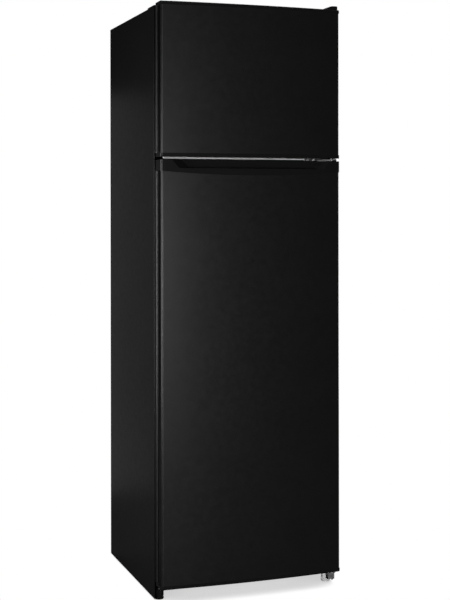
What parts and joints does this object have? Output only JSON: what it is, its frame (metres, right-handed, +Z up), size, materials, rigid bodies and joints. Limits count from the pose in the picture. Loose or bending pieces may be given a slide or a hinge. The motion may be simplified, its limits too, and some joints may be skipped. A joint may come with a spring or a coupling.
{
  "type": "top freezer refrigerator",
  "caption": "Upright top freezer refrigerator with bowed steel doors, a recessed door handle, glass shelves, crisper drawers and a rear wire condenser.",
  "frame": {"origin": "on the floor, under the middle of the overall box", "axes": "+X to the right seen from the front, +Y to the back, +Z up; the doors face -Y"},
  "size_m": [0.574, 0.625, 1.77],
  "materials": {
    "black_steel": "satin",
    "grey_steel": "satin",
    "zinc_steel": "brushed",
    "black_enamel": "gloss",
    "hinge_steel": "brushed",
    "black_plastic": "matte",
    "white_plastic": "satin",
    "grey_plastic": "matte",
    "clear_plastic": "clear",
    "foam": "matte",
    "seal_rubber": "matte",
    "black_rubber": "matte",
    "shelf_glass": "clear",
    "copper": "satin",
    "aluminium": "satin"
  },
  "bodies": {
    "cabinet": {"left_side_panel": "black_steel", "right_side_panel": "black_steel", "top_panel": "black_steel", "back_panel": "black_steel", "bottom_panel": "zinc_steel", "divider_bar": "grey_steel", "top_trim": "black_plastic", "cabinet_insulation": "foam", "evaporator_plates": "aluminium", "freezer_liner": "white_plastic", "fridge_liner": "white_plastic", "middle_hinge": "hinge_steel", "bottom_hinge": "hinge_steel", "top_hinge": "hinge_steel", "hinge_cover": "black_plastic", "hinge_screws": "zinc_steel", "front_rail": "zinc_steel", "base_plate": "zinc_steel", "compressor_grommets": "black_rubber", "compressor": "black_enamel", "starter_box": "black_plastic", "drip_tray": "black_plastic", "drain_tube": "grey_plastic", "condenser_tube": "black_enamel", "condenser_wires": "black_enamel", "condenser_clips": "black_plastic", "pipes_and_drier": "copper", "crisper_cover": "shelf_glass", "glass_shelf_1": "shelf_glass", "glass_shelf_2": "shelf_glass", "glass_shelf_3": "shelf_glass", "shelf_trims": "white_plastic", "freezer_shelf": "white_plastic", "control_box": "white_plastic", "lamp_lens": "clear_plastic"},
    "freezer_door": {"freezer_door_skin": "black_steel", "freezer_door_foam": "foam", "freezer_door_liner": "white_plastic", "freezer_door_seal": "seal_rubber", "freezer_bin_lower": "white_plastic", "freezer_bin_upper": "white_plastic", "freezer_door_top_cap": "black_plastic", "freezer_door_bottom_cap": "black_plastic"},
    "fridge_door": {"fridge_door_skin": "black_steel", "fridge_door_foam": "foam", "fridge_door_liner": "white_plastic", "fridge_door_seal": "seal_rubber", "fridge_door_bottom_cap": "black_plastic", "bottle_bin": "clear_plastic", "middle_bin": "clear_plastic", "upper_bin": "clear_plastic", "handle_cap": "black_plastic"},
    "left_crisper": {"left_crisper": "clear_plastic"},
    "right_crisper": {"right_crisper": "clear_plastic"},
    "thermostat_knob": {"thermostat_knob": "grey_plastic"},
    "light_switch": {"light_switch": "white_plastic"},
    "left_foot": {"left_foot": "black_plastic"},
    "right_foot": {"right_foot": "grey_plastic"},
    "left_roller": {"left_roller": "black_plastic"},
    "right_roller": {"right_roller": "black_plastic"}
  },
  "joints": [
    {"name": "freezer_door_hinge", "type": "hinge", "parent": "cabinet", "child": "freezer_door", "pos_m": [0.269, -0.2745, 1.304], "axis": [0, 0, 1], "range_deg": [0, 130]},
    {"name": "fridge_door_hinge", "type": "hinge", "parent": "cabinet", "child": "fridge_door", "pos_m": [0.269, -0.2745, 0.046], "axis": [0, 0, 1], "range_deg": [0, 130]},
    {"name": "thermostat_turn", "type": "hinge", "parent": "cabinet", "child": "thermostat_knob", "pos_m": [0.01, -0.1905, 1.2465], "axis": [0, -1, 0], "range_deg": [-150, 150]},
    {"name": "light_switch_slide", "type": "slide", "parent": "cabinet", "child": "light_switch", "axis": [0, -1, 0], "range_m": [0, 0.006]},
    {"name": "left_crisper_slide", "type": "slide", "parent": "cabinet", "child": "left_crisper", "axis": [0, -1, 0], "range_m": [0, 0.038]},
    {"name": "right_crisper_slide", "type": "slide", "parent": "cabinet", "child": "right_crisper", "axis": [0, -1, 0], "range_m": [0, 0.038]},
    {"name": "left_foot_turn", "type": "hinge", "parent": "cabinet", "child": "left_foot", "pos_m": [-0.268, -0.2255, 0], "axis": [0, 0, 1], "continuous": true},
    {"name": "left_roller_spin", "type": "hinge", "parent": "cabinet", "child": "left_roller", "pos_m": [-0.253, 0.2325, 0.016], "axis": [1, 0, 0], "continuous": true},
    {"name": "right_foot_turn", "type": "hinge", "parent": "cabinet", "child": "right_foot", "pos_m": [0.268, -0.2255, 0], "axis": [0, 0, 1], "continuous": true},
    {"name": "right_roller_spin", "type": "hinge", "parent": "cabinet", "child": "right_roller", "pos_m": [0.253, 0.2325, 0.016], "axis": [1, 0, 0], "continuous": true}
  ],
  "couplings": [
    {"joint": "light_switch_slide", "follows": "fridge_door_hinge", "m_per_rad": 0.0026}
  ]
}
